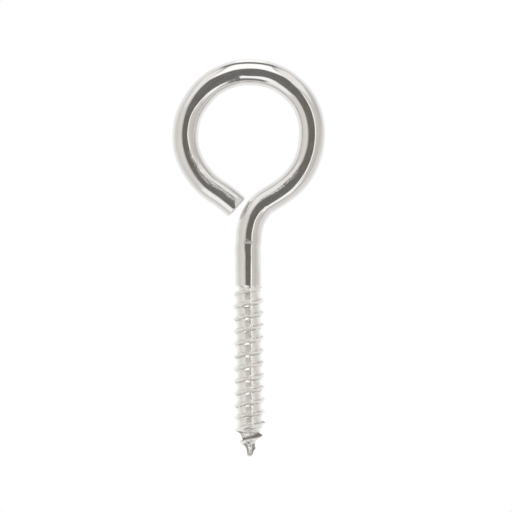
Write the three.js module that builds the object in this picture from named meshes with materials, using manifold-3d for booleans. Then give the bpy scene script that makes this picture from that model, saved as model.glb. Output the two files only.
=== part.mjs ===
// Screw eye bent from one length of round steel wire: an open eye, a neck bend,
// a plain shank, and a rolled right-hand wood thread ending in a gimlet point.
//
// Millimetres and degrees. The origin is the middle of the blunt tip, +Z runs up
// the screw axis towards the eye, and the eye lies flat in the XZ plane. Angles
// round the eye are measured from +X towards +Z.
import * as THREE from 'three';
import { mergeVertices } from 'three/addons/utils/BufferGeometryUtils.js';
import Module from 'manifold-3d';

// ---- driving dimensions ---------------------------------------------------
// Wire
const OVERALL_LENGTH = 101.6;      // tip to crown of the eye, 4 in
const WIRE_RADIUS = 6.7 / 2;       // stock the whole piece is bent from
const SIDES = 24;                  // sides of the wire's section

// Eye and neck; radii are to the centre line of the wire
const EYE_RADIUS = 16.25;
const EYE_OFFSET_X = 0.6;          // eye centre beside the screw axis
const EYE_STEP = 5;                // degrees between sections of the eye
const CROWN_ANGLE = 90;
const FREE_END_ANGLE = 231;        // where the straight tail meets the eye
const FREE_END_LENGTH = 9.2;       // straight tail beyond that angle
const FREE_END_CHAMFER = 0.45;     // broken edge of the sheared end
const NECK_ANGLE = -54;            // where the eye runs out into the neck
const NECK_RADIUS = 13.0;          // reverse bend
const NECK_STEPS = 9;

// Shank, thread core and point
const SHANK_END = 43.9;            // plain shank above this height
const STEP_LENGTH = 1.3;           // shank necks down to the thread root
const ROOT_RADIUS = 6.36 / 2;
const POINT_LENGTH = 7.5;          // taper of the gimlet point
const CORE_PROFILE = [             // core up from the tip: [z, radius]
  [0, 0.46],
  [0.35, 0.65],
  [2.6, 1.26],
  [5.0, 2.08],
  [POINT_LENGTH, ROOT_RADIUS],
  [SHANK_END - STEP_LENGTH, ROOT_RADIUS],
  [SHANK_END, WIRE_RADIUS],
];

// Thread ridge
const CREST_RADIUS = 8.0 / 2;      // 5/16 in over the crests
const RIDGE_HEIGHT = CREST_RADIUS - ROOT_RADIUS;
const PITCH = 3.175;               // 8 threads per inch, single start
const PHASE_Z = 1.9;               // height of a crest on the +X side
const CREST_FLAT = 0.26;
const RIDGE_BASE = 1.34;           // ridge width at the root
const BURIED_DEPTH = 0.36;         // ridge profile carries on this far into the core
const END_SINK = 0.5;              // extra depth of the two end sections
const THREAD_TOP = 43.55;          // ridge runs out here
const THREAD_BOTTOM = 0.95;        // and here on the point
const RUNOUT_POWER = 0.7;          // how the ridge fades over its top pitch
const RUNOUT_HEIGHT = 0.15;        // share of the height left at the top
const RUNOUT_WIDTH = 0.35;         // share of the width left at the top
const POINT_WIDTH = 0.4;           // share of the width that ignores POINT_RIDGE
const POINT_RIDGE = [              // share of the full ridge height: [z, share]
  [0.3, 0.15],
  [1.9, 0.25],
  [3.65, 1.1],
  [5.2, 1.25],
  [8.2, 1],
];

// ---- helpers --------------------------------------------------------------
const rad = THREE.MathUtils.degToRad;

// Straight-line value between rows of a rising [z, value] table, held level
// beyond its ends.
function interpolate(table, z) {
  if (z <= table[0][0]) return table[0][1];
  for (let i = 1; i < table.length; i++) {
    const [upperZ, upperValue] = table[i];
    if (z > upperZ) continue;
    const [lowerZ, lowerValue] = table[i - 1];
    return THREE.MathUtils.mapLinear(z, lowerZ, upperZ, lowerValue, upperValue);
  }
  return table[table.length - 1][1];
}

// Sweeps a profile through ready-made sections. Each section holds its centre
// and the two axes of its plane; an axis's length scales the profile along it.
function sweep(profile, sections) {
  // Only the two curve methods that ExtrudeGeometry calls.
  const path = {
    getSpacedPoints: () => sections.map((section) => section.centre),
    computeFrenetFrames: () => ({
      normals: sections.map((section) => section.normal),
      binormals: sections.map((section) => section.binormal),
    }),
  };
  const geometry = new THREE.ExtrudeGeometry(new THREE.Shape(profile), {
    steps: sections.length - 1,
    extrudePath: path,
    bevelEnabled: false,
  });
  // Normals and UVs would keep shared corners from merging.
  geometry.deleteAttribute('normal');
  geometry.deleteAttribute('uv');
  return mergeVertices(geometry, 1e-5);
}

// ---- the wire, from its free end to the tip ---------------------------------
// Radius at the corners of a polygon with the same area as a unit circle.
const EQUAL_AREA = Math.sqrt((2 * Math.PI / SIDES) / Math.sin(2 * Math.PI / SIDES));

// heading is the angle of the section's in-plane normal; the wire travels
// towards (sin heading, -cos heading) in the XZ plane.
function wireSection(x, z, heading, radius = WIRE_RADIUS) {
  const angle = rad(heading);
  const corner = radius * EQUAL_AREA;
  return {
    centre: new THREE.Vector3(x, 0, z),
    normal: new THREE.Vector3(Math.cos(angle) * corner, 0, Math.sin(angle) * corner),
    binormal: new THREE.Vector3(0, -corner, 0),
  };
}

// Section on an arc in the XZ plane. A negative arc radius puts it on the far
// side of the centre, for a bend the other way.
function arcSection(centreX, centreZ, arcRadius, heading) {
  const angle = rad(heading);
  return wireSection(
    centreX + arcRadius * Math.cos(angle),
    centreZ + arcRadius * Math.sin(angle), heading);
}

function eyeSection(heading) {
  const eyeCentreZ = OVERALL_LENGTH - EYE_RADIUS - WIRE_RADIUS;
  return arcSection(EYE_OFFSET_X, eyeCentreZ, EYE_RADIUS, heading);
}

function tailSections() {
  const angle = rad(FREE_END_ANGLE);
  const joint = eyeSection(FREE_END_ANGLE).centre;
  const tailSection = (distance, radius) => wireSection(
    joint.x - Math.sin(angle) * distance,
    joint.z + Math.cos(angle) * distance, FREE_END_ANGLE, radius);
  return [
    tailSection(FREE_END_LENGTH, WIRE_RADIUS - FREE_END_CHAMFER),
    tailSection(FREE_END_LENGTH - FREE_END_CHAMFER, WIRE_RADIUS),
  ];
}

// Sections sit half a step either side of the crown, so one facet there lies level.
function eyeSections() {
  const stepsToCrown = Math.round((FREE_END_ANGLE - CROWN_ANGLE) / EYE_STEP) - 0.5;
  const headings = [FREE_END_ANGLE];
  for (let a = CROWN_ANGLE + stepsToCrown * EYE_STEP; a > NECK_ANGLE; a -= EYE_STEP) {
    headings.push(a);
  }
  headings.push(NECK_ANGLE);
  return headings.map(eyeSection);
}

// The bend onto the screw axis, placed so that a straight run along the eye's
// tangent reaches its start.
function neckSections() {
  const angle = rad(NECK_ANGLE);
  const runOut = eyeSection(NECK_ANGLE).centre;
  const bendStartX = NECK_RADIUS * (1 - Math.cos(angle));
  const runLength = (bendStartX - runOut.x) / Math.sin(angle);
  const bendCentreZ = runOut.z - Math.cos(angle) * runLength + NECK_RADIUS * Math.sin(angle);
  const sections = [];
  for (let i = 0; i <= NECK_STEPS; i++) {
    const heading = NECK_ANGLE * (1 - i / NECK_STEPS);
    sections.push(arcSection(NECK_RADIUS, bendCentreZ, -NECK_RADIUS, heading));
  }
  return sections;
}

function wireGeometry() {
  const profile = [];
  for (let i = 0; i < SIDES; i++) {
    const angle = 2 * Math.PI * (i + 0.5) / SIDES;
    profile.push(new THREE.Vector2(Math.cos(angle), Math.sin(angle)));
  }
  const coreSections = CORE_PROFILE.map(([z, radius]) => wireSection(0, z, 0, radius));
  return sweep(profile, [
    ...tailSections(),
    ...eyeSections(),
    ...neckSections(),
    ...coreSections.reverse(),
  ]);
}

// ---- the thread ridge -------------------------------------------------------
// Full size on the body, fading into the shank at the top and following
// POINT_RIDGE down the point.
function ridgeScale(z) {
  const pitchesLeft = THREE.MathUtils.clamp((THREAD_TOP - z) / PITCH, 0, 1);
  const top = Math.pow(pitchesLeft, RUNOUT_POWER);
  const bottom = interpolate(POINT_RIDGE, z);
  const fade = (least, share) => least + (1 - least) * share;
  return {
    height: fade(RUNOUT_HEIGHT, top) * bottom,
    width: fade(RUNOUT_WIDTH, top) * fade(POINT_WIDTH, bottom),
  };
}

// One section at each corner of the wire's polygon, all the way up the helix.
function ridgeSections() {
  const stepAngle = 2 * Math.PI / SIDES;
  const stepAt = (z) => (z - PHASE_Z) / PITCH * SIDES - 0.5;
  const first = Math.ceil(stepAt(THREAD_BOTTOM));
  const last = Math.floor(stepAt(THREAD_TOP));
  const sections = [];
  for (let k = first; k <= last; k++) {
    const theta = (k + 0.5) * stepAngle;
    const z = PHASE_Z + PITCH * theta / (2 * Math.PI);
    const scale = ridgeScale(z);
    // The two end sections sink into the core so the ridge dies away.
    const sink = (k === first || k === last) ? END_SINK : 0;
    const radius = interpolate(CORE_PROFILE, z) - sink;
    const radial = new THREE.Vector3(Math.cos(theta), Math.sin(theta), 0);
    sections.push({
      centre: new THREE.Vector3(radial.x * radius, radial.y * radius, z),
      normal: radial.multiplyScalar(scale.height),
      binormal: new THREE.Vector3(0, 0, -scale.width),
    });
  }
  return sections;
}

// Profile x runs outward from the core surface, y along the screw axis.
function ridgeGeometry() {
  const flankSlope = (RIDGE_BASE - CREST_FLAT) / 2 / RIDGE_HEIGHT;   // axial per radial
  const buriedHalfWidth = RIDGE_BASE / 2 + flankSlope * BURIED_DEPTH;
  const profile = [
    new THREE.Vector2(-BURIED_DEPTH, -buriedHalfWidth),
    new THREE.Vector2(RIDGE_HEIGHT, -CREST_FLAT / 2),
    new THREE.Vector2(RIDGE_HEIGHT, CREST_FLAT / 2),
    new THREE.Vector2(-BURIED_DEPTH, buriedHalfWidth),
  ];
  return sweep(profile, ridgeSections());
}

// ---- join the ridge to the wire ---------------------------------------------
const wasm = await Module();
wasm.setup();

function toSolid(geometry) {
  return new wasm.Manifold(new wasm.Mesh({
    numProp: 3,
    vertProperties: geometry.attributes.position.array,
    triVerts: new Uint32Array(geometry.index.array),
  }));
}

function toGeometry(solid) {
  const { vertProperties, triVerts } = solid.getMesh();
  const geometry = new THREE.BufferGeometry();
  geometry.setAttribute('position', new THREE.BufferAttribute(vertProperties, 3));
  geometry.setIndex(new THREE.BufferAttribute(triVerts, 1));
  geometry.computeVertexNormals();
  return geometry;
}

const polishedSteel = new THREE.MeshStandardMaterial({
  color: 0xc9c7c2,
  roughness: 0.2,
  metalness: 1.0,
});

const screwEye = new THREE.Mesh(
  toGeometry(toSolid(wireGeometry()).add(toSolid(ridgeGeometry()))),
  polishedSteel);
screwEye.name = 'screw_eye';

const eyeBolt = new THREE.Group();
eyeBolt.name = 'eye_bolt';
eyeBolt.add(screwEye);

export default eyeBolt;
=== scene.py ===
"""Screw eye bent from one length of bright steel wire, in a plain light tent.

The eye lies in the XZ plane above the thread, which runs up the Z axis from its
tip at z = 0. The front faces -Y, towards the camera. Shapes are worked out in
millimetres; "arc" is the length along the wire from its cut end.
"""
import math

import bmesh
import bpy
import numpy as np
from mathutils import Matrix, Vector


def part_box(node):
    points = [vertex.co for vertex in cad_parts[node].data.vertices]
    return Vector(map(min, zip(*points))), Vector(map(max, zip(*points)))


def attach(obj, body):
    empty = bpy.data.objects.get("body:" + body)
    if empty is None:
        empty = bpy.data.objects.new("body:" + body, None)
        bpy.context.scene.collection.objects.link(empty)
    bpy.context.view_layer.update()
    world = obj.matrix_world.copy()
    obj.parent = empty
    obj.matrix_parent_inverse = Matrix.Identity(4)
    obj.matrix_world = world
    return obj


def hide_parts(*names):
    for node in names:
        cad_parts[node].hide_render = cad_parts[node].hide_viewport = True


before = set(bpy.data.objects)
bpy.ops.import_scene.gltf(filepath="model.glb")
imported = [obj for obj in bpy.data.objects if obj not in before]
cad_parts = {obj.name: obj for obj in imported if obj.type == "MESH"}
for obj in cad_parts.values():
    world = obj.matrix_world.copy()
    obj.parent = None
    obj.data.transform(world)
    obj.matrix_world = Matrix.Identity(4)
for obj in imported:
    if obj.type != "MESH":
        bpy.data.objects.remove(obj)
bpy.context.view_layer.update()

MM = 0.001
NODE = "screw_eye"
cad_low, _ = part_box(NODE)

# ---------------------------------------------------------------------------
# Driving dimensions, in millimetres and degrees
# ---------------------------------------------------------------------------
OVERALL = 101.6
WIRE_R = 3.35
EYE_R = 16.25                  # centre line of the eye
EYE_X = 0.6
EYE_Z = OVERALL - EYE_R - WIRE_R
TAIL_ANGLE = 231.0             # where the straight free end leaves the eye
TAIL = 9.2                     # length of that straight
NECK_ANGLE = -54.0             # where the eye runs out into the neck
NECK_R = 13.0
ROOT_R = 3.18
CREST_R = 4.0
PITCH = 3.175
PHASE_Z = 2.0                  # height of a crest at azimuth 0
THREAD_TOP = 43.9

COLS = 88                      # columns round the wire
DZ = PITCH / (COLS / 2)        # row step on the thread, so rows follow the helix
ROW = 0.30                     # row step along the plain wire
END_ROW = 0.11                 # finer row step next to the cut end
END_ZONE = 3.2                 # arc where the finer rows stop
SPLIT_Z = 44.4                 # plain wire above, threaded rows below
PATH_STEP = 0.05


# ---------------------------------------------------------------------------
# Small numeric helpers
# ---------------------------------------------------------------------------
def smooth(zero_at, one_at, x):
    ramp = np.clip((x - zero_at) / (one_at - zero_at), 0.0, 1.0)
    return ramp * ramp * (3.0 - 2.0 * ramp)


def window(x, rise, fall):
    """Smooth bump; rise and fall are each (zero at, one at)."""
    return smooth(*rise, x) * smooth(*fall, x)


def bell(x, centre, width, power=2):
    """1 at the centre; a power of 4 gives a flatter top."""
    return np.exp(-((x - centre) / width) ** power)


def turn_from(degrees, centre):
    """Signed turn from centre, -180 to 180."""
    return (degrees - centre + 180.0) % 360.0 - 180.0


def lookup(x, *table):
    """Straight lines through (station, value) pairs."""
    return np.interp(x, *zip(*table))


def curve(x, table, column=1):
    """Cubic through one column of a table, held from 0.1 short of its last station."""
    xs, ys = np.array(table, float)[:, [0, column]].T
    x = np.clip(x, xs[0], xs[-1] - 0.1)
    slopes = np.gradient(ys, xs)
    i = np.clip(np.searchsorted(xs, x, side="right") - 1, 0, len(xs) - 2)
    span = xs[i + 1] - xs[i]
    part = np.clip((x - xs[i]) / span, 0.0, 1.0)
    square, cube = part * part, part * part * part
    return ((2 * cube - 3 * square + 1) * ys[i] + (cube - 2 * square + part) * span * slopes[i]
            + (-2 * cube + 3 * square) * ys[i + 1] + (cube - square) * span * slopes[i + 1])


def waves(seed, scale, count=9):
    """Smooth seeded noise, a sum of sines, with one scale per coordinate."""
    rng = np.random.default_rng(seed)
    rates = rng.normal(0, 1, (count, len(scale))) / np.asarray(scale, float)
    phases = rng.uniform(0, 2 * math.pi, count)

    def noise(*coords):
        total = 0.0
        for rate, phase in zip(rates, phases):
            total = total + np.sin(sum(k * x for k, x in zip(rate, coords)) + phase)
        return total / math.sqrt(count / 2) / 1.6

    return noise


# ---------------------------------------------------------------------------
# Centre line of the wire, from the cut end to the plain shank
# ---------------------------------------------------------------------------
def radial(degrees):
    angle = math.radians(degrees)
    return np.array([math.cos(angle), math.sin(angle)])


def tangential(degrees):
    angle = math.radians(degrees)
    return np.array([-math.sin(angle), math.cos(angle)])


def nominal_path():
    """XZ points of the true bend, and the angle of the outward normal at each."""
    points, headings = [], []

    def straight(origin, direction, distances, heading):
        for distance in distances:
            points.append(origin + distance * direction)
            headings.append(heading)

    def bend(centre, radius, start, end):
        count = int(round(abs(radius) * math.radians(abs(start - end)) / PATH_STEP))
        for degrees in np.linspace(start, end, count, endpoint=False):
            points.append(centre + radius * radial(degrees))
            headings.append(degrees)

    eye = np.array([EYE_X, EYE_Z])
    tail_root = eye + EYE_R * radial(TAIL_ANGLE)
    straight(tail_root, tangential(TAIL_ANGLE), np.arange(TAIL, 0, -PATH_STEP), TAIL_ANGLE)
    bend(eye, EYE_R, TAIL_ANGLE, NECK_ANGLE)
    eye_exit = eye + EYE_R * radial(NECK_ANGLE)
    cosine, sine = radial(NECK_ANGLE)
    run = (NECK_R * (1 - cosine) - eye_exit[0]) / sine
    straight(eye_exit, -tangential(NECK_ANGLE), np.arange(0, run, PATH_STEP), NECK_ANGLE)
    neck_z = eye_exit[1] - cosine * run + NECK_R * sine
    bend(np.array([NECK_R, neck_z]), -NECK_R, NECK_ANGLE, 0)
    straight(np.zeros(2), np.array([0.0, 1.0]), np.arange(neck_z, SPLIT_Z - 1.0, -PATH_STEP), 0.0)
    return np.array(points), np.radians(headings)


def arc_lengths(points):
    return np.concatenate([[0], np.cumsum(np.hypot(*np.diff(points, axis=0).T))])


# How far the hand-bent wire strays from the true centre line: the eye is a
# little flat at the upper left and lower right, the neck kinks, and the shank
# jogs where it was gripped. Columns: arc, stray with outward positive.
STRAY = [
    (0.0, -0.02), (3.0, -0.10), (5.5, -0.07), (7.2, 0.10), (9.2, 0.19),
    (10.8, 0.11), (13.4, 0.02), (16.3, 0.06), (19.1, 0.11), (22.0, 0.11),
    (24.8, 0.01), (27.6, -0.06), (30.5, -0.13), (34.7, -0.16), (39.0, -0.09),
    (43.2, -0.06), (47.5, -0.08), (51.7, -0.04), (54.6, 0.04), (57.4, 0.14),
    (61.7, 0.17), (65.9, 0.22), (68.8, 0.12), (71.6, 0.00), (74.4, -0.17),
    (77.3, -0.23), (80.1, -0.17), (83.0, -0.08), (85.8, 0.05), (88.6, 0.15),
    (90.4, 0.22), (92.5, 0.15), (94.6, -0.02), (96.4, -0.20), (98.0, -0.25),
    (99.4, -0.20), (100.9, -0.12), (102.8, -0.08), (104.2, 0.01), (106.2, 0.16),
    (107.6, 0.21), (108.4, 0.15), (109.2, -0.02), (110.2, -0.14), (111.4, -0.15),
    (113.0, -0.09), (115.0, -0.06), (117.0, -0.02), (118.6, 0.0), (121.0, 0.0),
]


def bent_path():
    """Arc, XZ point, tangent and outward normal along the wire as really bent."""
    points, headings = nominal_path()
    outward = np.stack([np.cos(headings), np.sin(headings)], 1)
    points = points + outward * curve(arc_lengths(points), STRAY)[:, None]
    lengths = arc_lengths(points)
    arc = np.arange(0, lengths[-1], PATH_STEP)
    points = np.stack([np.interp(arc, lengths, column) for column in points.T], 1)
    # Ease the curvature; odd reflection at both ends keeps the ends in place.
    reach, spread = 16, 7.0
    kernel = np.exp(-0.5 * (np.arange(-reach, reach + 1) / spread) ** 2)
    kernel /= kernel.sum()
    padded = np.concatenate([2 * points[0] - points[reach:0:-1], points,
                             2 * points[-1] - points[-2:-2 - reach:-1]])
    points = np.stack([np.convolve(column, kernel, mode="valid") for column in padded.T], 1)
    tangents = np.gradient(points, arc, axis=0)
    tangents /= np.linalg.norm(tangents, axis=1)[:, None]
    return arc, points, tangents, np.stack([-tangents[:, 1], tangents[:, 0]], 1)


PATH_ARC, PATH, TANGENTS, NORMALS = bent_path()
SPLIT_ARC = float(np.interp(-SPLIT_Z, -PATH[:, 1], PATH_ARC))


def along_path(arc, columns):
    return np.stack([np.interp(arc, PATH_ARC, column) for column in columns.T], -1)


def on_wire(arc, radius, angle):
    """Point round the centre line; angle 0 is outward and 90 degrees is front."""
    # past the cut end the wire runs on straight
    centre = along_path(arc, PATH) + np.minimum(arc, 0)[..., None] * TANGENTS[0]
    normal = along_path(arc, NORMALS)
    normal = normal / np.linalg.norm(normal, axis=-1, keepdims=True)
    outward = radius * np.cos(angle)
    # the free end springs back a little behind the plane of the eye
    set_back = 0.45 * (1 - smooth(-4.0, 24.0, arc))
    return np.stack([centre[..., 0] + outward * normal[..., 0],
                     -radius * np.sin(angle) + set_back,
                     centre[..., 1] + outward * normal[..., 1]], -1)


# ---------------------------------------------------------------------------
# Surface of the plain wire: dents and marks as real shape
# ---------------------------------------------------------------------------
long_wave = waves(11, (2.2, 2.2, 9.0))
fine_wave = waves(12, (1.1, 1.1, 2.6))
scuff_wave = waves(14, (0.16, 0.7), count=14)

# Bending leaves the round section flatter in places and sharper in others,
# which shapes the edges of the dark reflection on the front.
# Columns: arc, then how much further the surface is turned away from the
# front on the outward and on the inward side, in degrees.
SECTION = [
    (0.0, 0.4, 0.0), (1.3, 0.8, 0.3), (3.7, 0.3, 0.3), (6.1, -0.1, 0.3),
    (8.5, 1.5, 0.3), (10.9, 1.5, 0.0), (13.3, 1.7, 0.0), (15.7, 3.0, 0.3),
    (18.1, 2.9, 1.3), (20.5, 2.8, 1.7), (22.9, 1.2, 2.2), (25.3, 0.3, 3.2),
    (27.7, 0.0, 5.0), (30.1, -0.3, 5.5), (32.5, 0.0, -0.1), (34.9, -1.6, -2.1),
    (37.3, -2.8, -3.4), (39.7, -4.6, -5.0), (42.1, -1.7, -6.7), (44.5, -1.1, -5.2),
    (46.9, -1.5, 2.6), (49.3, -1.6, -2.5), (51.7, -2.2, -2.3), (54.1, -0.7, -0.1),
    (56.5, -0.0, -1.4), (58.9, -0.2, -3.1), (61.3, 2.4, -1.5), (63.7, 0.6, -0.1),
    (66.1, 0.1, -2.7), (68.5, -1.3, -3.1), (70.9, -1.9, -3.2), (73.3, -2.6, -2.9),
    (75.7, -3.2, -1.3), (78.1, -3.2, -0.3), (80.5, -2.5, -0.6), (82.9, -2.5, 0.4),
    (85.3, -2.2, -2.0), (87.7, -1.3, -3.0), (90.1, -2.6, -3.2), (92.5, -2.9, 0.4),
    (94.9, -2.6, 3.5), (97.3, -2.7, 2.7), (99.7, -0.9, 2.6), (102.1, 0.4, 2.7),
    (104.5, -2.6, 2.2), (106.9, -1.4, 0.9), (109.3, -4.6, 0.9), (111.7, -5.3, 7.1),
    (114.1, -3.5, 4.6), (116.5, -2.2, 3.8), (118.9, -0.4, 3.4), (122.0, 0.8, 2.4),
]
SWELL_ANGLES = np.radians(np.arange(0.0, 361.0, 1.0))


def swell(lobe_centre, sign):
    """Radius change with one lobe of slope on the front, closed round the back."""
    def integral(slope):
        steps = (slope[1:] + slope[:-1]) / 2 * np.diff(SWELL_ANGLES)
        return np.concatenate([[0.0], np.cumsum(steps)])

    height = integral(sign * bell(np.degrees(SWELL_ANGLES), lobe_centre, 13.0)) * WIRE_R
    back = np.clip((SWELL_ANGLES - math.pi) / math.pi, 0, 1)
    back = integral(np.sin(back * math.pi) ** 2)
    height = height - height[-1] * back / back[-1]
    return height - height.mean()


SWELL_OUT = swell(76.0, sign=1)
SWELL_IN = swell(104.0, sign=-1)

# Soft patches: height, arc, angle in degrees, length, width in degrees.
PIN_SCUFF = (-0.020, 7.6, 107, 0.9, 4)
PATCHES = [
    # where the jaw gripped the shank just under the neck
    (-0.075, 108.45, 88, 0.22, 22), (0.02, 108.9, 88, 0.3, 30), (-0.012, 109.4, 200, 0.6, 40),
    # crease gathered at the neck bend
    (0.05, 96.3, 20, 0.7, 40), (0.04, 98.3, 20, 0.6, 36), (-0.09, 97.35, 24, 0.32, 34),
]
# Flat worn inside the eye: (arc, degrees past the front), (arc, half width).
EYE_FLAT_PLACE = [(9.0, 13.6), (12.0, 11.3), (14.0, 10.3), (18.0, 9.3), (22.0, 9.0)]
EYE_FLAT_HALF = [(9.0, 15.2), (12.0, 13.0), (16.0, 8.6), (20.0, 5.2), (25.0, 2.6)]


def patch(arc, angle, height, at_arc, at_angle, length, width):
    turn = turn_from(np.degrees(angle), at_angle)
    return height * np.exp(-((arc - at_arc) / length) ** 2 - (turn / width) ** 2)


def section(arc, angle):
    around = np.mod(angle, 2 * math.pi)
    return (np.radians(curve(arc, SECTION, 1)) * np.interp(around, SWELL_ANGLES, SWELL_OUT)
            + np.radians(curve(arc, SECTION, 2)) * np.interp(around, SWELL_ANGLES, SWELL_IN))


def scuff(arc, angle):
    """Strips that slid over the mandrel, and the jaw's mark: 0 to 1."""
    turn = np.degrees(angle)
    middle = 107.6 + 1.2 * np.sin(arc * 1.3) - lookup(arc, (9.0, 0.0), (12.0, 1.6), (18.0, 4.6))
    fade = smooth(10.8, 8.2, arc) + 0.5 * window(arc, rise=(8.2, 10.8), fall=(21.0, 15.0))
    eye_strip = bell(turn, middle, 4.6, 4) * smooth(0.8, 1.8, arc) * fade
    neck_strip = 0.62 * bell(turn, 107.5 + 1.5 * np.sin(arc), 5.6, 4) \
        * window(arc, rise=(83.0, 89.0), fall=(98.5, 96.0))
    jaw = 0.9 * bell(arc, 108.5 + 0.008 * (turn - 88.0), 0.26) * bell(turn, 90.0, 20.0, 4)
    jaw_edge = 0.5 * bell(arc, 107.9, 0.2) * bell(turn, 97.0, 7.0)
    return np.clip(eye_strip + neck_strip + jaw + jaw_edge, 0, 1)


def worn_flat(radius, angle, centre, half_width, share):
    """Cut a narrow flat; share 0 lifts it clear of the wire, 1 cuts it fully."""
    turn = np.radians(np.degrees(angle) - centre)
    level = WIRE_R * np.cos(np.radians(half_width)) / np.maximum(np.cos(turn), 0.5)
    level = level + (1 - share) * 0.06
    return radius + np.where(np.abs(turn) < 0.6, np.minimum(level - radius, 0.0), 0.0)


def wire_radius(arc, angle):
    """Radius of the plain wire, with what drawing and bending left on it."""
    x, y = np.cos(angle) * WIRE_R, np.sin(angle) * WIRE_R
    radius = WIRE_R + 0.006 * long_wave(x, y, arc) + 0.0016 * fine_wave(x, y, arc)
    radius = radius + section(arc, angle) + patch(arc, angle, *PIN_SCUFF)
    radius = radius + 0.020 * scuff(arc, angle) * scuff_wave(WIRE_R * angle, arc)
    # narrow flats worn where the wire slid over the mandrel
    radius = worn_flat(radius, angle, centre=90.0 + lookup(arc, *EYE_FLAT_PLACE),
                       half_width=lookup(arc, *EYE_FLAT_HALF), share=smooth(28.0, 22.0, arc))
    radius = worn_flat(radius, angle, centre=102.8, half_width=10.0,
                       share=window(arc, rise=(82.0, 88.0), fall=(99.5, 97.0)))
    # flats pressed on the inward side by the bending pin and the stop
    turn = np.degrees(angle)
    radius = radius - 0.045 * bell(turn, 141.0, 10.0) * smooth(13.0, 9.0, arc)
    radius = radius - 0.035 * bell(turn, 141.0, 11.0) \
        * window(arc, rise=(78.0, 84.0), fall=(101.0, 97.0))
    return radius + sum(patch(arc, angle, *row) for row in PATCHES)


# The shear left a flat on the front of the free end, facing the neck.
FACET = (0.235, -0.40, 0.886)     # its normal: towards the end, outward, frontward
FACET_DISTANCE = 2.780            # from the centre line at the cut end


def faceted(arc, radius, angle):
    """Radius cut back by the shear flat, with a softened edge."""
    towards_end, outward, frontward = FACET
    facing = outward * np.cos(angle) + frontward * np.sin(angle)
    limit = np.where(facing > 0.2,
                     (FACET_DISTANCE + towards_end * arc) / np.maximum(facing, 0.2), 1e3)
    soft = 0.05
    gap = radius - limit
    blended = radius - (gap + soft) ** 2 / (4 * soft)
    return np.where(gap < -soft, radius, np.where(gap > soft, limit, blended))


# ---------------------------------------------------------------------------
# Surface of the threaded part. Azimuth 270 degrees is the front.
# ---------------------------------------------------------------------------
crest_wave = waves(21, (2.4,))
crest_wave2 = waves(22, (0.55,))
flank_wave = waves(25, (1.3,))
root_wave = waves(23, (1.9, 1.9, 0.27), count=14)
root_wave2 = waves(24, (0.6, 0.6, 0.15), count=14)
film_wave = waves(41, (0.35, 0.25), count=12)

HOLLOW_BELOW = 0.27             # how much the root flares out under a ridge
HOLLOW_ABOVE = 0.13             # and on top of one
HOLLOW_DIP = 0.06               # how far it dips midway
# Core of the point: height, radius.
POINT_CORE = [
    (0.0, 0.58), (0.4, 0.64), (0.9, 0.74), (1.4, 0.88), (2.0, 1.06), (2.6, 1.24), (3.4, 1.46),
    (4.2, 1.74), (5.0, 2.06), (5.6, 2.28), (6.2, 2.58), (6.8, 2.88), (7.5, 3.12), (8.3, 3.18),
    (9.0, 3.18),
]
# How far the helix strays: height, shift up.
DRIFT = [
    (3.8, 0.0), (5.5, 0.10), (6.8, -0.04), (8.4, 0.32), (10.0, 0.14), (11.6, -0.04),
    (14.0, -0.14), (20.0, -0.21), (27.0, -0.18), (36.0, -0.14), (42.0, -0.12),
]
# Ridge height on the point: height of the crest, share of the full ridge.
POINT_RIDGE = [(0.2, 0.0), (0.7, 0.08), (1.9, 0.18), (3.65, 1.12), (5.2, 1.30), (6.7, 1.12),
               (8.2, 1.0)]
# Bright streak slanting across a ridge: height from the crest, turn from the front.
STREAK = [(-0.9, -9.0), (-0.5, -7.0), (0.0, 1.0), (0.35, 10.0), (0.6, 13.0)]


def core_radius(z):
    body = ROOT_R + (WIRE_R - ROOT_R) * smooth(43.05, 43.75, z)
    return np.where(z < 8.9, np.minimum(curve(z, POINT_CORE), body), body)


def ridge_height(z, azimuth):
    """Height of the crest line nearest to z at this azimuth."""
    climb = PITCH * azimuth / (2 * math.pi)
    drift = lookup(z, *DRIFT)
    count = np.round((z - drift - PHASE_Z - climb) / PITCH)
    return PHASE_Z + climb + count * PITCH + drift


def ridge_profile(distance, half, flat):
    """0 in the root to 1 on the crest: straight flanks with rounded corners."""
    ramp = np.clip((half - distance) / (half - flat), -1.0, 2.0)
    soft = 0.16
    share = np.where(ramp < -soft, 0.0,
                     np.where(ramp < soft, (ramp + soft) ** 2 / (4 * soft), ramp))
    top = 1 - (np.clip(1 + soft - ramp, 0, 2 * soft)) ** 2 / (4 * soft)
    return np.clip(np.where(ramp > 1 - soft, top, share), 0.0, 1.0)


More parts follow.
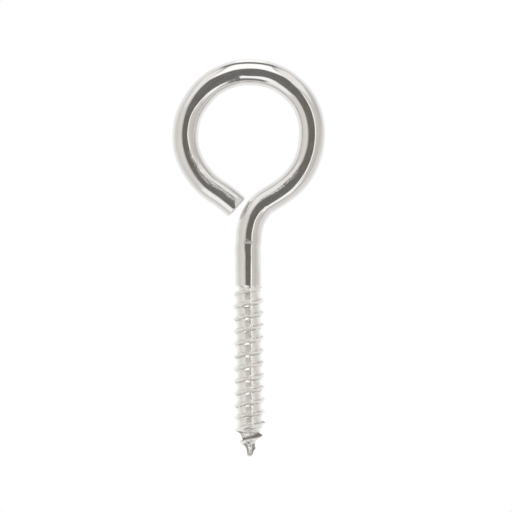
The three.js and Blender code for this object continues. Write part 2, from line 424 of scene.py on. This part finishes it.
def thread_surface(z, azimuth):
    """Radius of the threaded wire, and its ridge, crease and sheen masks."""
    crest_z = ridge_height(z, azimuth)
    along = 2 * math.pi * (crest_z - PHASE_Z) / PITCH * ROOT_R
    growth = np.clip((THREAD_TOP - crest_z) / PITCH, 0.0, 1.0) ** 0.6
    point = lookup(crest_z, *POINT_RIDGE)
    strength = growth * np.minimum(point, 1.0)
    height = (CREST_R - ROOT_R) * growth * point
    height = height * (1 + 0.035 * crest_wave(along) + 0.022 * crest_wave2(along))

    # Small round crest, wide hollow root, and the steeper flank on top.
    scale = (0.45 + 0.55 * growth) * (0.55 + 0.45 * np.minimum(point, 1.1))
    above_crest = z - crest_z + 0.03 * flank_wave(along + 30.0)
    under = above_crest < 0
    distance = np.abs(above_crest)
    turn = np.degrees(azimuth) % 360.0
    front = window(turn, rise=(247.0, 256.0), fall=(277.0, 266.0))
    half = (np.where(under, 0.63 - 0.22 * front, 0.50) + 0.05 * flank_wave(along)) * scale
    flat = np.minimum(0.08 + 0.03 * crest_wave(along + 9.0), 0.25 * half)
    ridge = ridge_profile(distance, half, flat)

    slant = bell(turn, 270.0 + lookup(above_crest, *STREAK), 6.0, 4) * smooth(0.80, 0.60, distance)
    # painted shade at the foot of each ridge, weaker on the front and under the slanting bright
    # streak
    crease = np.where(under, bell(distance, half, 0.19) * (1 - 0.85 * front),
                      bell(distance, half - 0.12, 0.13) * (1 - 0.6 * front))
    crease = crease * strength * (1 - 0.85 * slant)

    # 0 midway between ridges, 1 at the foot of one
    nearness = np.clip((PITCH / 2 - distance) / (PITCH / 2 - half), 0.0, 1.0)
    flare = growth * smooth(1.6, 3.4, crest_z)
    reach = np.where(under, HOLLOW_BELOW, HOLLOW_ABOVE)
    hollow = (-HOLLOW_DIP + reach * nearness * nearness) * flare
    radius = core_radius(z) + hollow \
        + np.maximum(height - (reach - HOLLOW_DIP) * flare, 0.0) * ridge

    # brighter strips under the ridge and down the root, on the front only
    sheen = np.where(under, smooth(0.30, 0.55, nearness), 0.0) * front
    sheen = sheen + 0.55 * bell(turn, 283.5, 5.5, 4)
    sheen = np.maximum(sheen * (1 - ridge), 0.9 * slant) * strength

    # the rolled root is faintly uneven
    x, y = np.cos(azimuth) * ROOT_R, np.sin(azimuth) * ROOT_R
    lumpy = (1 - ridge) ** 2 * window(z, rise=(0.5, 3.0), fall=(THREAD_TOP, THREAD_TOP - 1.5))
    radius = radius + (0.030 * root_wave(x, y, z) + 0.010 * root_wave2(x, y, z)) * lumpy
    # the very point is pinched a little front and back
    radius = radius * (1 - 0.15 * np.sin(azimuth) ** 4 * smooth(3.8, 0.3, z))
    # bite of the rolling die where the thread starts, on the left
    bite = window(z, rise=(42.15, 42.55), fall=(44.1, 42.75))
    radius = radius - 0.62 * bite * bell(turn_from(turn, 195.0), 0.0, 58.0, 4)
    return radius, ridge * strength, crease, sheen


def residue(z, azimuth):
    """Dark residue above the last full ridge and on the sides of the point: 0 to 1."""
    turn = np.degrees(azimuth) % 360.0
    crest_z = ridge_height(z - 0.40, azimuth)
    above = bell(z - crest_z, 0.46, 0.40, 4) * window(crest_z, rise=(3.0, 3.5), fall=(6.1, 5.5))
    left = 0.55 * smooth(0.55, 0.97, -np.cos(azimuth)) * window(z, rise=(4.2, 4.6), fall=(6.7, 6.2))
    # thin line along its top on the left, and a thinner film on the right
    line = 0.62 * bell(z, 6.35 - 0.004 * (turn - 180.0), 0.17) \
        * window(turn, rise=(165.0, 185.0), fall=(268.0, 245.0))
    film = 0.55 * window(z, rise=(4.3, 4.9), fall=(6.5, 5.9)) \
        * smooth(0.22, 0.5, np.cos(azimuth)) * (0.55 + 0.45 * film_wave(ROOT_R * azimuth, z))
    spot = 0.36 * bell(z, 37.2, 0.5) * bell(turn, 269.0, 9.0)
    # bare spot on the flank of one crest near the point, across azimuth 348
    bare = bell(z, 8.95, 0.33, 4) * (bell((turn + 12.0) % 360, 0.0, 14.0)
                                     + bell(turn, 348.0, 14.0))
    return np.clip(bare, 0, 1), np.clip(0.92 * above + left + line + film + spot, 0, 1)


def nose_side_darkening(z, azimuth):
    """Darker grey along both sides of the nose, 0 to 1."""
    return smooth(0.16, 0.80, np.abs(np.cos(azimuth))) * window(z, rise=(0.20, 0.7), fall=(3.5, 2.9))


# ---------------------------------------------------------------------------
# The mesh: one closed grid from the cut end to the tip
# ---------------------------------------------------------------------------
COLUMN = np.arange(COLS)
ANGLE = 2 * math.pi * COLUMN / COLS
AZIMUTH = -ANGLE

# per-vertex masks: ridge height, rolled thread, sheared metal, scuffs, dark residue, the point,
# painted shade in the creases, smoother strips on the thread front, and a painted highlight in the
# eye
MASKS = ("ridge", "rolled", "cut", "scuff", "stain", "tip", "crease", "sheen", "gleam")
rows = []
wire_rows = []                 # section x and y, and arc, for the textures
mask_rows = {name: [] for name in MASKS}

shear = waves(31, (0.9, 0.35))
shear2 = waves(32, (0.30, 0.22))
# The blade rolled one edge of the cut end over and left the other crisp.
ROLL = 0.30 + 0.16 * (0.5 - 0.5 * np.cos(ANGLE))


def face_depth(x):
    """How far the sheared face lies behind its foremost point, x outward."""
    return 0.045 * (x + WIRE_R) + 0.05 * smooth(2.2, 3.3, -x)


LIP = face_depth((WIRE_R - ROLL) * np.cos(ANGLE))
WALL_START = LIP + ROLL * 1.1


def face_tear(x, y):
    """Torn texture on the part of the face the blade did not burnish."""
    torn = 0.25 + 0.75 * smooth(0.6, -0.5, x)
    return (0.030 * shear(x, y) + 0.015 * shear2(x, y)) * torn


def add_row(places, arc, texture_radius, **values):
    rows.append(places)
    wire_rows.append(np.stack([texture_radius * np.cos(ANGLE),
                               texture_radius * np.sin(ANGLE), arc], 1))
    for name in MASKS:
        mask_rows[name].append(np.broadcast_to(values.get(name, 0.0), (COLS,)).astype(float))


def add_cut_end():
    for share in (0.12, 0.25, 0.38, 0.5, 0.61, 0.71, 0.80, 0.87, 0.93, 0.975):
        radius = (WIRE_R - ROLL) * share
        x, y = radius * np.cos(ANGLE), radius * np.sin(ANGLE)
        depth = face_depth(x) + face_tear(x, y) * (1 - smooth(0.85, 1.0, share))
        add_row(on_wire(depth, faceted(depth, radius, ANGLE), ANGLE), depth, radius, cut=1.0)
    for degrees in (0, 10, 22, 34, 46, 58, 70, 80):
        around = math.radians(degrees)
        depth = LIP + ROLL * 1.1 * (1 - math.cos(around))
        edge = wire_radius(depth, ANGLE) - WIRE_R
        radius = WIRE_R - ROLL + ROLL * math.sin(around) + edge * math.sin(around)
        radius = faceted(depth, radius, ANGLE)
        add_row(on_wire(depth, radius, ANGLE), depth, radius, cut=1 - smooth(20, 70, degrees))


def add_plain_wire():
    turn = np.degrees(ANGLE)
    count = int(math.ceil((SPLIT_ARC - END_ZONE) / ROW))
    levels = list(np.arange(0.0, END_ZONE, END_ROW))
    levels += list(np.linspace(END_ZONE, SPLIT_ARC, count + 1))
    for level in levels:
        # columns start at their own depth and line up at the end of the zone
        arc = WALL_START + (level * (END_ZONE - WALL_START) / END_ZONE if level < END_ZONE
                            else level - WALL_START)
        uncut = wire_radius(arc, ANGLE)
        radius = faceted(arc, uncut, ANGLE)
        cut = smooth(0.005, 0.05, uncut - radius)
        # painted highlight: a thin bright line inside the eye at lower left
        middle = lookup(arc, (9.0, 116.0), (12.0, 115.5), (17.0, 112.5), (19.0, 108.5),
                        (27.0, 107.0))
        fade = smooth(20.0, 16.0, arc) + 0.25 * window(arc, rise=(16.0, 20.0), fall=(31.0, 26.0))
        gleam = bell(turn, middle, 4.2) * smooth(9.0, 12.0, arc) * fade
        # discoloured line along the inward side of the free end
        line = 0.55 * bell(turn, 140.5, 5.5) * smooth(8.0, 2.0, arc)
        add_row(on_wire(arc, radius, ANGLE), arc, radius, cut=0.85 * cut,
                scuff=scuff(arc, ANGLE) * (1 - cut), stain=line, gleam=gleam)


def add_thread_row(z, radius, shift=0.0, **values):
    places = np.stack([radius * np.cos(AZIMUTH) + shift, radius * np.sin(AZIMUTH), z], 1)
    add_row(places, SPLIT_ARC + (SPLIT_Z - z), radius, **values)


def add_thread(count):
    """Threaded rows; returns height and radius of the last one."""
    # Odd columns sit half a step lower, so crest and root lines follow mesh edges.
    half_step = (COLUMN % 2) * DZ / 2
    for i in range(1, count + 1):
        level = SPLIT_Z - i * DZ
        z = level - half_step * smooth(SPLIT_Z, SPLIT_Z - 3 * DZ, level)
        radius, ridge, crease, sheen = thread_surface(z, AZIMUTH)
        blend = smooth(SPLIT_Z - 1.0, SPLIT_Z, z)
        radius = radius * (1 - blend) + wire_radius(SPLIT_ARC + (SPLIT_Z - z), ANGLE) * blend
        bare, dark = residue(z, AZIMUTH)
        # the last of the point leans a little to the right
        add_thread_row(z, radius, shift=0.17 * bell(z, 1.75, 0.85),
                       # crease carries the painted crease shade; the darker sides of the nose are
                       # added on top, above 1
                       crease=np.clip(crease + 2.4 * nose_side_darkening(z, AZIMUTH), 0, 2.4), ridge=ridge,
                       rolled=1 - smooth(THREAD_TOP - 0.9, THREAD_TOP - 0.1, z),
                       sheen=sheen, tip=smooth(8.2, 6.4, z),
                       stain=np.clip(bare * smooth(3.25, 3.4, radius) + dark, 0, 1))
    return z, radius


def add_tip(last_z, last_radius):
    """Blunt tip: rounding rings down to z = 0, then flat ones."""
    for degrees in (14, 30, 46, 62, 76):
        around = math.radians(degrees)
        add_thread_row(last_z * (1 - math.sin(around)),
                       last_radius * (0.42 + 0.58 * math.cos(around)), rolled=1.0, tip=1.0)
    for share in (0.36, 0.2, 0.08):
        add_thread_row(np.zeros(COLS), last_radius * share, rolled=1.0, tip=1.0)


def grid_faces(first_thread_row, thread_count):
    """Faces of the grid, closed by a fan on a centre vertex at each end."""
    faces = []
    for i in range(len(rows) - 1):
        upper, lower = i * COLS, (i + 1) * COLS
        threaded = first_thread_row <= i < first_thread_row + thread_count - 1
        for j in range(COLS):
            k = (j + 1) % COLS
            if threaded and j % 2:
                faces.append((upper + j, lower + k, upper + k))
                faces.append((upper + j, lower + j, lower + k))
            else:
                faces.append((upper + j, lower + j, lower + k, upper + k))
    end_centre, last_row = len(rows) * COLS, (len(rows) - 1) * COLS
    for j in range(COLS):
        k = (j + 1) % COLS
        faces.append((end_centre, j, k))
        faces.append((end_centre + 1, last_row + k, last_row + j))
    return faces


def build_piece():
    add_cut_end()
    add_plain_wire()
    first_thread_row = len(rows)
    thread_count = int(math.floor((SPLIT_Z - 0.45) / DZ))
    add_tip(*add_thread(thread_count))

    places = np.vstack([*rows, rows[0].mean(0), [0.0, 0.0, 0.0]])
    wire = np.vstack([*wire_rows, [0, 0, wire_rows[0][:, 2].mean()],
                      [0, 0, SPLIT_ARC + SPLIT_Z]])
    mesh = bpy.data.meshes.new("screw_eye_wire")
    mesh.from_pydata((places * MM).tolist(), [], grid_faces(first_thread_row, thread_count))
    mesh.validate()
    mesh.update()

    # make sure the faces point out
    shell = bmesh.new()
    shell.from_mesh(mesh)
    if shell.calc_volume(signed=True) < 0:
        bmesh.ops.reverse_faces(shell, faces=shell.faces)
    shell.to_mesh(mesh)
    shell.free()
    mesh.update()

    attribute = mesh.attributes.new("wire", "FLOAT_VECTOR", "POINT")
    attribute.data.foreach_set("vector", wire.astype(np.float32).ravel())
    for name, values in mask_rows.items():
        values = np.append(np.concatenate(values), [values[0].mean(), values[-1].mean()])
        attribute = mesh.attributes.new(name, "FLOAT", "POINT")
        attribute.data.foreach_set("value", values.astype(np.float32))
    for polygon in mesh.polygons:
        polygon.use_smooth = True
    return link_object("screw_eye_wire", mesh)


def link_object(name, data):
    made = bpy.data.objects.new(name, data)
    bpy.context.scene.collection.objects.link(made)
    return made


# ---------------------------------------------------------------------------
# Node helpers
# ---------------------------------------------------------------------------
class Net:
    """Empties the node tree of a material or world, and fills it."""

    def __init__(self, owner):
        owner.use_nodes = True
        self.tree = owner.node_tree
        self.tree.nodes.clear()

    def node(self, kind, **props):
        made = self.tree.nodes.new(kind)
        for name, value in props.items():
            setattr(made, name, value)
        return made

    def link(self, source, target):
        self.tree.links.new(source, target)

    def put(self, socket, value):
        if isinstance(value, bpy.types.NodeSocket):
            self.link(value, socket)
        else:
            socket.default_value = value

    def fill(self, made, *values):
        """Put values into the first inputs; give back the first output."""
        for socket, value in zip(made.inputs, values):
            self.put(socket, value)
        return made.outputs[0]

    def math(self, operation, *values, clamp=False):
        return self.fill(self.node("ShaderNodeMath", operation=operation, use_clamp=clamp), *values)

    def chain(self, operation, first, *others):
        for value in others:
            first = self.math(operation, first, value)
        return first

    def add(self, *values):
        return self.chain("ADD", *values)

    def mul(self, *values):
        return self.chain("MULTIPLY", *values)

    def sub(self, first, second, clamp=False):
        return self.math("SUBTRACT", first, second, clamp=clamp)

    def step(self, value, start, end, low=0.0, high=1.0):
        """Smooth step of value from start to end, giving low to high."""
        made = self.node("ShaderNodeMapRange", interpolation_type="SMOOTHSTEP")
        return self.fill(made, value, start, end, low, high)

    def band(self, value, start, end, soft):
        """1 between start and end, with soft edges centred on them."""
        return self.mul(self.step(value, start - soft, start + soft),
                        self.step(value, end - soft, end + soft, low=1.0, high=0.0))

    def mix(self, factor, first, second):
        made = self.node("ShaderNodeMix", data_type="FLOAT", clamp_factor=True)
        for i, value in ((0, factor), (2, first), (3, second)):
            self.put(made.inputs[i], value)
        return made.outputs[0]

    def mix_colour(self, factor, first, second):
        made = self.node("ShaderNodeMix", data_type="RGBA")
        for i, value in ((0, factor), (6, first), (7, second)):
            self.put(made.inputs[i], value)
        return made.outputs[2]

    def vec(self, x, y, z):
        return self.fill(self.node("ShaderNodeCombineXYZ"), x, y, z)

    def scale(self, vector, factors):
        return self.fill(self.node("ShaderNodeVectorMath", operation="MULTIPLY"), vector, factors)

    def noise(self, vector, detail, rough, distortion=0.0):
        made = self.node("ShaderNodeTexNoise")
        for name, value in (("Vector", vector), ("Scale", 1.0), ("Detail", detail),
                            ("Roughness", rough), ("Distortion", distortion)):
            self.put(made.inputs[name], value)
        return made.outputs["Fac"]


# ---------------------------------------------------------------------------
# Material: bright drawn steel wire, satin where the thread was rolled
# ---------------------------------------------------------------------------
WIRE_COLOURS = (0.772, 0.758, 0.738, 1), (0.805, 0.797, 0.780, 1)
THREAD_COLOURS = (0.970, 0.940, 0.905, 1), (0.935, 0.935, 0.886, 1)
# colour of the painted crease shade and of the darker sides of the nose
CREASE_SHADE_AND_NOSE_DARK_COLOUR = (0.19, 0.18, 0.16, 1)
CUT_COLOUR = (0.94, 0.935, 0.925, 1)
# colour of the painted highlight inside the eye
PAINTED_GLEAM_COLOUR = (1.0, 0.985, 0.965, 1)
STAIN_COLOUR = (0.185, 0.145, 0.135, 1)


def steel_material():
    material = bpy.data.materials.new("bright_steel_wire")
    net = Net(material)
    out = net.node("ShaderNodeOutputMaterial")
    bsdf = net.node("ShaderNodeBsdfPrincipled")
    net.link(bsdf.outputs[0], out.inputs[0])

    wire = net.node("ShaderNodeAttribute", attribute_name="wire").outputs["Vector"]
    ridge, rolled, cut, scuffs, stain, tip, crease, sheen, gleam = (
        net.node("ShaderNodeAttribute", attribute_name=name).outputs["Fac"] for name in MASKS)
    plain = net.sub(1.0, net.math("MAXIMUM", rolled, cut), clamp=True)
    off_tip = net.step(tip, 1.0, 0.0)
    root = net.mul(rolled, net.step(ridge, 0.22, 0.02), off_tip)

    def texture(density, detail, rough, distortion=0.0):
        """Noise with its density per millimetre across (twice) and along the wire."""
        return net.noise(net.scale(wire, density), detail, rough, distortion)

    # drawing lines: very long, very fine streaks along the wire
    lines = texture((3.2, 3.2, 0.05), detail=4.0, rough=0.62)
    hair = texture((24.0, 24.0, 0.30), detail=2.0, rough=0.55)
    cloud = texture((0.55, 0.55, 0.22), detail=3.0, rough=0.5)
    grain = texture((7.0, 7.0, 7.0), detail=3.0, rough=0.6)
    # a few handling scratches across the streaks
    warp = texture((0.5, 0.5, 0.5), detail=2.0, rough=0.5, distortion=0.6)
    scratch = net.noise(net.vec(net.mul(warp, 60.0), 0.0, 0.0), detail=1.0, rough=0.4)
    scratch = net.mul(net.step(scratch, 0.60, 0.66), net.step(grain, 0.50, 0.62))
    scuffed = texture((4.6, 4.6, 0.5), detail=4.0, rough=0.7)
    scuffed = net.mul(scuffs, net.step(scuffed, 0.45, 0.54))

    # colour: warm nickel grey, paler on the thread
    base = net.mix_colour(net.step(cloud, 0.32, 0.68), *WIRE_COLOURS)
    tinge = texture((0.35, 0.35, 0.40), detail=2.0, rough=0.5)
    land = net.mix_colour(net.step(tinge, 0.40, 0.60), *THREAD_COLOURS)
    base = net.mix_colour(net.mul(rolled, net.step(tip, 1.0, 0.0, low=0.75)), base, land)
    # painted shade in the creases beside the ridge, patchy; masks above 1 darken the sides of the
    # nose
    patchy = net.step(texture((1.0, 1.0, 1.0), detail=2.0, rough=0.5), 0.38, 0.58, low=0.15)
    crease_shade_and_nose_dark = net.mix(net.step(crease, 1.0, 1.4), net.mul(crease, patchy, 0.56),
                   net.mul(crease, 0.36))
    base = net.mix_colour(crease_shade_and_nose_dark, base, CREASE_SHADE_AND_NOSE_DARK_COLOUR)
    base = net.mix_colour(cut, base, CUT_COLOUR)
    # painted highlight: bright line inside the eye at lower left
    base = net.mix_colour(gleam, base, PAINTED_GLEAM_COLOUR)
    stained = net.mul(stain, net.step(grain, 0.30, 0.65, low=0.98, high=0.72))
    base = net.mix_colour(stained, base, STAIN_COLOUR)
    net.put(bsdf.inputs["Base Color"], base)

    # roughness: plain wire, then thread, point, sheen and stain, then the cut
    rough = net.add(0.050, net.mul(net.step(lines, 0.35, 0.70), 0.04),
                    net.mul(net.step(cloud, 0.35, 0.75), 0.03),
                    net.mul(scratch, 0.10), net.mul(scuffed, 0.22))
    uneven = net.mul(grain, 0.10)
    thread = net.mix(tip, net.add(0.31, uneven), net.add(0.22, uneven))
    thread = net.mix(sheen, thread, 0.10)
    thread = net.mix(stain, thread, 0.75)
    rough = net.mix(rolled, rough, thread)
    rough = net.mix(cut, rough, net.add(0.30, net.mul(grain, 0.30)))
    net.put(bsdf.inputs["Roughness"], rough)

    # rolling leaves fine lines round the thread, so it blurs along the axis
    grooved = net.mul(rolled, off_tip, net.mix(root, 0.85, 0.98),
                      net.sub(1.0, net.mul(sheen, 0.8)))
    net.put(bsdf.inputs["Anisotropic"], grooved)
    net.put(bsdf.inputs["Tangent"], net.vec(0.0, 0.0, 1.0))

    # a thin uneven haze of wear and handling dulls the mirror
    worn = texture((1.3, 1.3, 0.45), detail=4.0, rough=0.65)
    haze = net.add(0.012, net.mul(net.step(worn, 0.40, 0.78), 0.085),
                   net.mul(rolled, net.mix(sheen, 0.25, 0.06)),
                   net.mul(scuffed, 0.46), net.mul(cut, 0.22))
    haze = net.math("MINIMUM", net.add(haze, net.mul(stain, 0.97)), 1.0)
    net.put(bsdf.inputs["Metallic"], net.sub(1.0, haze))
    net.put(bsdf.inputs["Specular IOR Level"], net.mix(stain, 0.5, 0.12))

    # bump, in millimetres of height
    scuff_marks = texture((3.4, 3.4, 0.7), detail=4.0, rough=0.6)
    height = net.add(net.mul(lines, 0.006), net.mul(hair, 0.0006), net.mul(scratch, -0.0012),
                     net.mul(scuffed, scuff_marks, 0.085))
    roll_marks = texture((1.1, 1.1, 6.0), detail=3.0, rough=0.6)
    height = net.add(net.mul(height, plain), net.mul(roll_marks, rolled, 0.014),
                     net.mul(grain, rolled, 0.003), net.mul(grain, cut, 0.020))
    bump = net.node("ShaderNodeBump")
    for name, value in (("Strength", 1.0), ("Distance", MM), ("Height", height)):
        net.put(bump.inputs[name], value)
    net.link(bump.outputs[0], bsdf.inputs["Normal"])
    return material


# ---------------------------------------------------------------------------
# Studio: a light tent fixed to the camera, with a dark panel round the lens, a
# softbox above and a white card below
# ---------------------------------------------------------------------------
# How far the dark panel reaches from the lens, in degrees, every 10 degrees
# round it from the left (-180) through below, right and above.
PANEL_REACH = [
    27, 28, 29, 32, 34, 35, 32, 28, 29, 31.5, 34, 38, 38, 34, 28, 24, 22.5, 21.5,
    21, 21.5, 22, 22.5, 26, 31, 32, 30.5, 29.5, 28.5, 27.5, 28, 31, 35, 37.5,
    35.5, 31.5, 28.5, 27,
]
REACH_SCALE = 60               # degrees at the top of the 0 to 1 curve
# Tints of the light.
WALL_TINTS = (1.0, 0.972, 0.935, 1), (1.0, 0.985, 0.985, 1)        # level, above or below
PANEL_TINTS = (1.0, 0.915, 0.820, 1), (1.0, 0.990, 0.985, 1)       # at the sides, above or below
WHITE = (1.0, 1.0, 1.0, 1)


def panel_reach(net, azimuth):
    made = net.node("ShaderNodeFloatCurve")
    points = made.mapping.curves[0].points
    last = len(PANEL_REACH) - 1
    points[0].location = (0.0, PANEL_REACH[0] / REACH_SCALE)
    points[1].location = (1.0, PANEL_REACH[-1] / REACH_SCALE)
    for k in range(1, last):
        points.new(k / last, PANEL_REACH[k] / REACH_SCALE)
    made.mapping.update()
    net.put(made.inputs["Value"], net.math("DIVIDE", net.add(azimuth, 180.0), 360.0))
    return net.mul(made.outputs[0], float(REACH_SCALE))


def studio_world():
    world = bpy.data.worlds.new("light_tent")
    bpy.context.scene.world = world
    net = Net(world)
    out = net.node("ShaderNodeOutputWorld")
    background = net.node("ShaderNodeBackground")
    net.link(background.outputs[0], out.inputs[0])
    view = net.node("ShaderNodeTexCoord").outputs["Camera"]
    view = net.fill(net.node("ShaderNodeVectorMath", operation="NORMALIZE"), view)
    split = net.node("ShaderNodeSeparateXYZ")
    net.link(view, split.inputs[0])
    x, y, z = split.outputs

    def size(value):
        return net.math("ABSOLUTE", value)

    # directions in degrees: away from the camera, right, up, and round it
    # with 0 to the right and 90 up
    off_axis = net.math("DEGREES", net.math("ARCCOSINE", net.mul(z, -1.0)))
    flat = net.math("SQRT", net.add(net.mul(x, x), net.mul(y, y)))
    flat = net.math("MAXIMUM", flat, 1e-5)
    right = net.math("DIVIDE", net.mul(off_axis, x), flat)
    up = net.math("DIVIDE", net.mul(off_axis, y), flat)
    azimuth = net.math("DEGREES", net.math("ARCTAN2", y, x))
    outside = net.sub(off_axis, panel_reach(net, azimuth))   # degrees outside the panel

    # tent walls, brighter on the left, near the camera and behind the object
    wall = net.mix(net.step(right, 25.0, -25.0), 0.61, 0.77)
    wall = net.add(wall, net.mul(net.step(off_axis, 80.0, 42.0), 0.09))

    def paint(area, brightness):
        nonlocal wall
        wall = net.mix(area, wall, brightness)

    paint(net.step(off_axis, 88.0, 125.0), brightness=1.02)
    # the lower right wall catches more light from behind
    paint(net.mul(net.step(right, -5.0, 15.0), net.band(off_axis, 76.0, 106.0, soft=7.0),
                  net.step(up, 28.0, -32.0)), brightness=0.86)
    # bright patch low on the left
    paint(net.mul(net.band(azimuth, -133.0, -100.0, soft=3.0),
                  net.band(off_axis, 40.0, 74.0, soft=5.0)), brightness=1.12)
    # softbox above, a little wider at the top, with a glow round it and a dark rim
    half_width = net.add(14.5, net.mul(up, 0.11))
    across = size(net.add(right, 1.0))
    past_side = net.sub(across, half_width)
    paint(net.mul(net.step(across, 66.0, 50.0), net.band(up, 28.0, 80.0, soft=5.0)),
          brightness=1.02)
    rim = net.mul(net.band(past_side, 0.5, 4.0, soft=1.6), net.band(up, 52.0, 90.0, soft=6.0))
    paint(net.mul(rim, 0.8), brightness=0.30)
    paint(net.mul(net.step(past_side, -1.8, 1.8, low=1.0, high=0.0),
                  net.band(up, 30.0, 76.5, soft=2.5)), brightness=1.32)
    # black edge over the softbox
    paint(net.mul(net.step(across, 40.0, 30.0), net.band(up, 79.5, 99.0, soft=3.5)),
          brightness=0.18)
    # white card below, reaching further on the right
    card_up = net.sub(up, net.mul(net.math("MAXIMUM", right, 0.0), 0.10))
    paint(net.mul(net.band(right, -17.0, 40.0, soft=4.0), net.band(card_up, -52.0, -30.0, soft=2.5)),
          brightness=1.22)
    # the dark gap past the card
    paint(net.mul(net.step(size(net.sub(right, 2.0)), 27.0, 17.0),
                  net.band(up, -76.0, -56.0, soft=3.0)), brightness=0.22)
    # thin bright edge of the right-hand wall, just outside the panel
    paint(net.mul(net.band(outside, 1.6, 8.2, soft=1.6),
                  net.step(size(net.add(azimuth, 5.0)), 52.0, 32.0)), brightness=1.42)
    # soft shadow outside the panel on the left
    shadow = net.mul(net.step(outside, 17.0, 0.0), net.step(right, -5.0, -18.0),
                     net.step(size(up), 40.0, 22.0))
    paint(net.mul(shadow, 0.62), brightness=0.36)
    # the panel, faintly streaked
    panel = net.step(outside, 2.4, -2.4)
    streak = net.noise(net.vec(net.mul(azimuth, 0.02), net.mul(off_axis, 0.16), 0.0),
                       detail=2.0, rough=0.5)
    paint(panel, brightness=net.add(0.143, net.mul(streak, 0.055)))
    # the strut that holds the card
    paint(net.mul(net.band(azimuth, -79.5, -67.5, soft=2.2),
                  net.band(off_axis, 30.0, 66.0, soft=4.0)), brightness=0.19)
    # strip of light straight above, a little behind the object
    paint(net.mul(net.step(across, 30.0, 14.0), net.band(up, 104.0, 134.0, soft=5.0)),
          brightness=1.3)
    # behind the object the sweep is plain white
    paint(net.step(off_axis, 150.0, 165.0), brightness=1.0)

    tint = net.mix_colour(net.step(size(up), 10.0, 40.0), *WALL_TINTS)
    upright = net.step(net.sub(size(up), net.mul(size(right), 0.6)), -1.5, 3.5)
    tint = net.mix_colour(panel, tint, net.mix_colour(upright, *PANEL_TINTS))
    tint = net.mix_colour(net.step(off_axis, 95.0, 130.0), tint, WHITE)
    light = net.node("ShaderNodeVectorMath", operation="SCALE")
    net.link(tint, light.inputs[0])
    net.put(light.inputs["Scale"], wall)
    net.link(light.outputs[0], background.inputs["Color"])
    background.inputs["Strength"].default_value = 1.0


# ---------------------------------------------------------------------------
# Floor: a pale disc under the object, seen only from above, in metres
# ---------------------------------------------------------------------------
FLOOR_RINGS = (0.05, 0.12, 0.2, 0.3, 0.42, 0.55, 0.7)
FLOOR_SIDES = 96
FLOOR_DROP = 0.060              # below the lowest point of the CAD piece
FLOOR_FADE = (0.35, 0.68)       # radii where it starts and ends fading out
FLOOR_COLOURS = (0.90, 0.90, 0.895, 1), (0.93, 0.93, 0.925, 1)


def floor_material():
    material = bpy.data.materials.new("pale_floor")
    net = Net(material)
    out = net.node("ShaderNodeOutputMaterial")
    diffuse = net.node("ShaderNodeBsdfDiffuse")
    geometry = net.node("ShaderNodeNewGeometry")
    position = geometry.outputs["Position"]
    mottled = net.noise(net.scale(position, (6.0, 6.0, 6.0)), detail=4.0, rough=0.5)
    net.put(diffuse.inputs["Color"], net.mix_colour(mottled, *FLOOR_COLOURS))
    clear = net.node("ShaderNodeBsdfTransparent")
    length = net.node("ShaderNodeVectorMath", operation="LENGTH")
    net.link(net.scale(position, (1.0, 1.0, 0.0)), length.inputs[0])
    edge = net.step(length.outputs["Value"], *FLOOR_FADE)
    hidden = net.math("MAXIMUM", geometry.outputs["Backfacing"], edge)
    mixed = net.fill(net.node("ShaderNodeMixShader"), hidden, diffuse.outputs[0],
                     clear.outputs[0])
    net.link(mixed, out.inputs[0])
    return material


def build_floor():
    z = cad_low.z - FLOOR_DROP
    sides = range(FLOOR_SIDES)
    turns = [2 * math.pi * i / FLOOR_SIDES for i in sides]
    verts = [(0.0, 0.0, z)]
    for radius in FLOOR_RINGS:
        verts += [(radius * math.cos(turn), radius * math.sin(turn), z) for turn in turns]
    faces = [(0, 1 + i, 1 + (i + 1) % FLOOR_SIDES) for i in sides]
    for k in range(len(FLOOR_RINGS) - 1):
        inner, outer = 1 + k * FLOOR_SIDES, 1 + (k + 1) * FLOOR_SIDES
        for i in sides:
            j = (i + 1) % FLOOR_SIDES
            faces.append((inner + i, outer + i, outer + j, inner + j))
    mesh = bpy.data.meshes.new("floor")
    mesh.from_pydata(verts, [], faces)
    mesh.update()
    disc = link_object("floor", mesh)
    mesh.materials.append(floor_material())
    disc.visible_glossy = False


# ---------------------------------------------------------------------------
# Camera: square on to the eye, long lens, rolled a fraction of a degree
# ---------------------------------------------------------------------------
CAMERA_DISTANCE = 1.6           # metres
SENSOR = 36.0
VIEW_WIDTH = 130.8672           # width of the view at the object, mm
VIEW_X, VIEW_Z = 2.069082, 51.19668     # centre of the view, mm
ROLL_DEGREES = -0.57


def build_camera():
    data = bpy.data.cameras.new("camera")
    camera = link_object("camera", data)
    data.sensor_fit = "HORIZONTAL"
    data.sensor_width = SENSOR
    data.lens = SENSOR * CAMERA_DISTANCE / (VIEW_WIDTH * MM)
    data.clip_start = 0.05
    data.clip_end = 50.0
    camera.location = Vector((VIEW_X * MM, -CAMERA_DISTANCE, VIEW_Z * MM))
    upright = Matrix.Rotation(math.radians(90), 3, "X")
    roll = Matrix.Rotation(math.radians(ROLL_DEGREES), 3, "Z")
    camera.rotation_euler = (upright @ roll).to_euler()
    bpy.context.scene.camera = camera


piece = build_piece()
piece.data.materials.append(steel_material())
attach(piece, "root")
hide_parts(NODE)
studio_world()
build_floor()
build_camera()

view_settings = bpy.context.scene.view_settings
view_settings.view_transform = "Standard"
view_settings.look = "None"
view_settings.exposure = 0.0
view_settings.gamma = 1.0
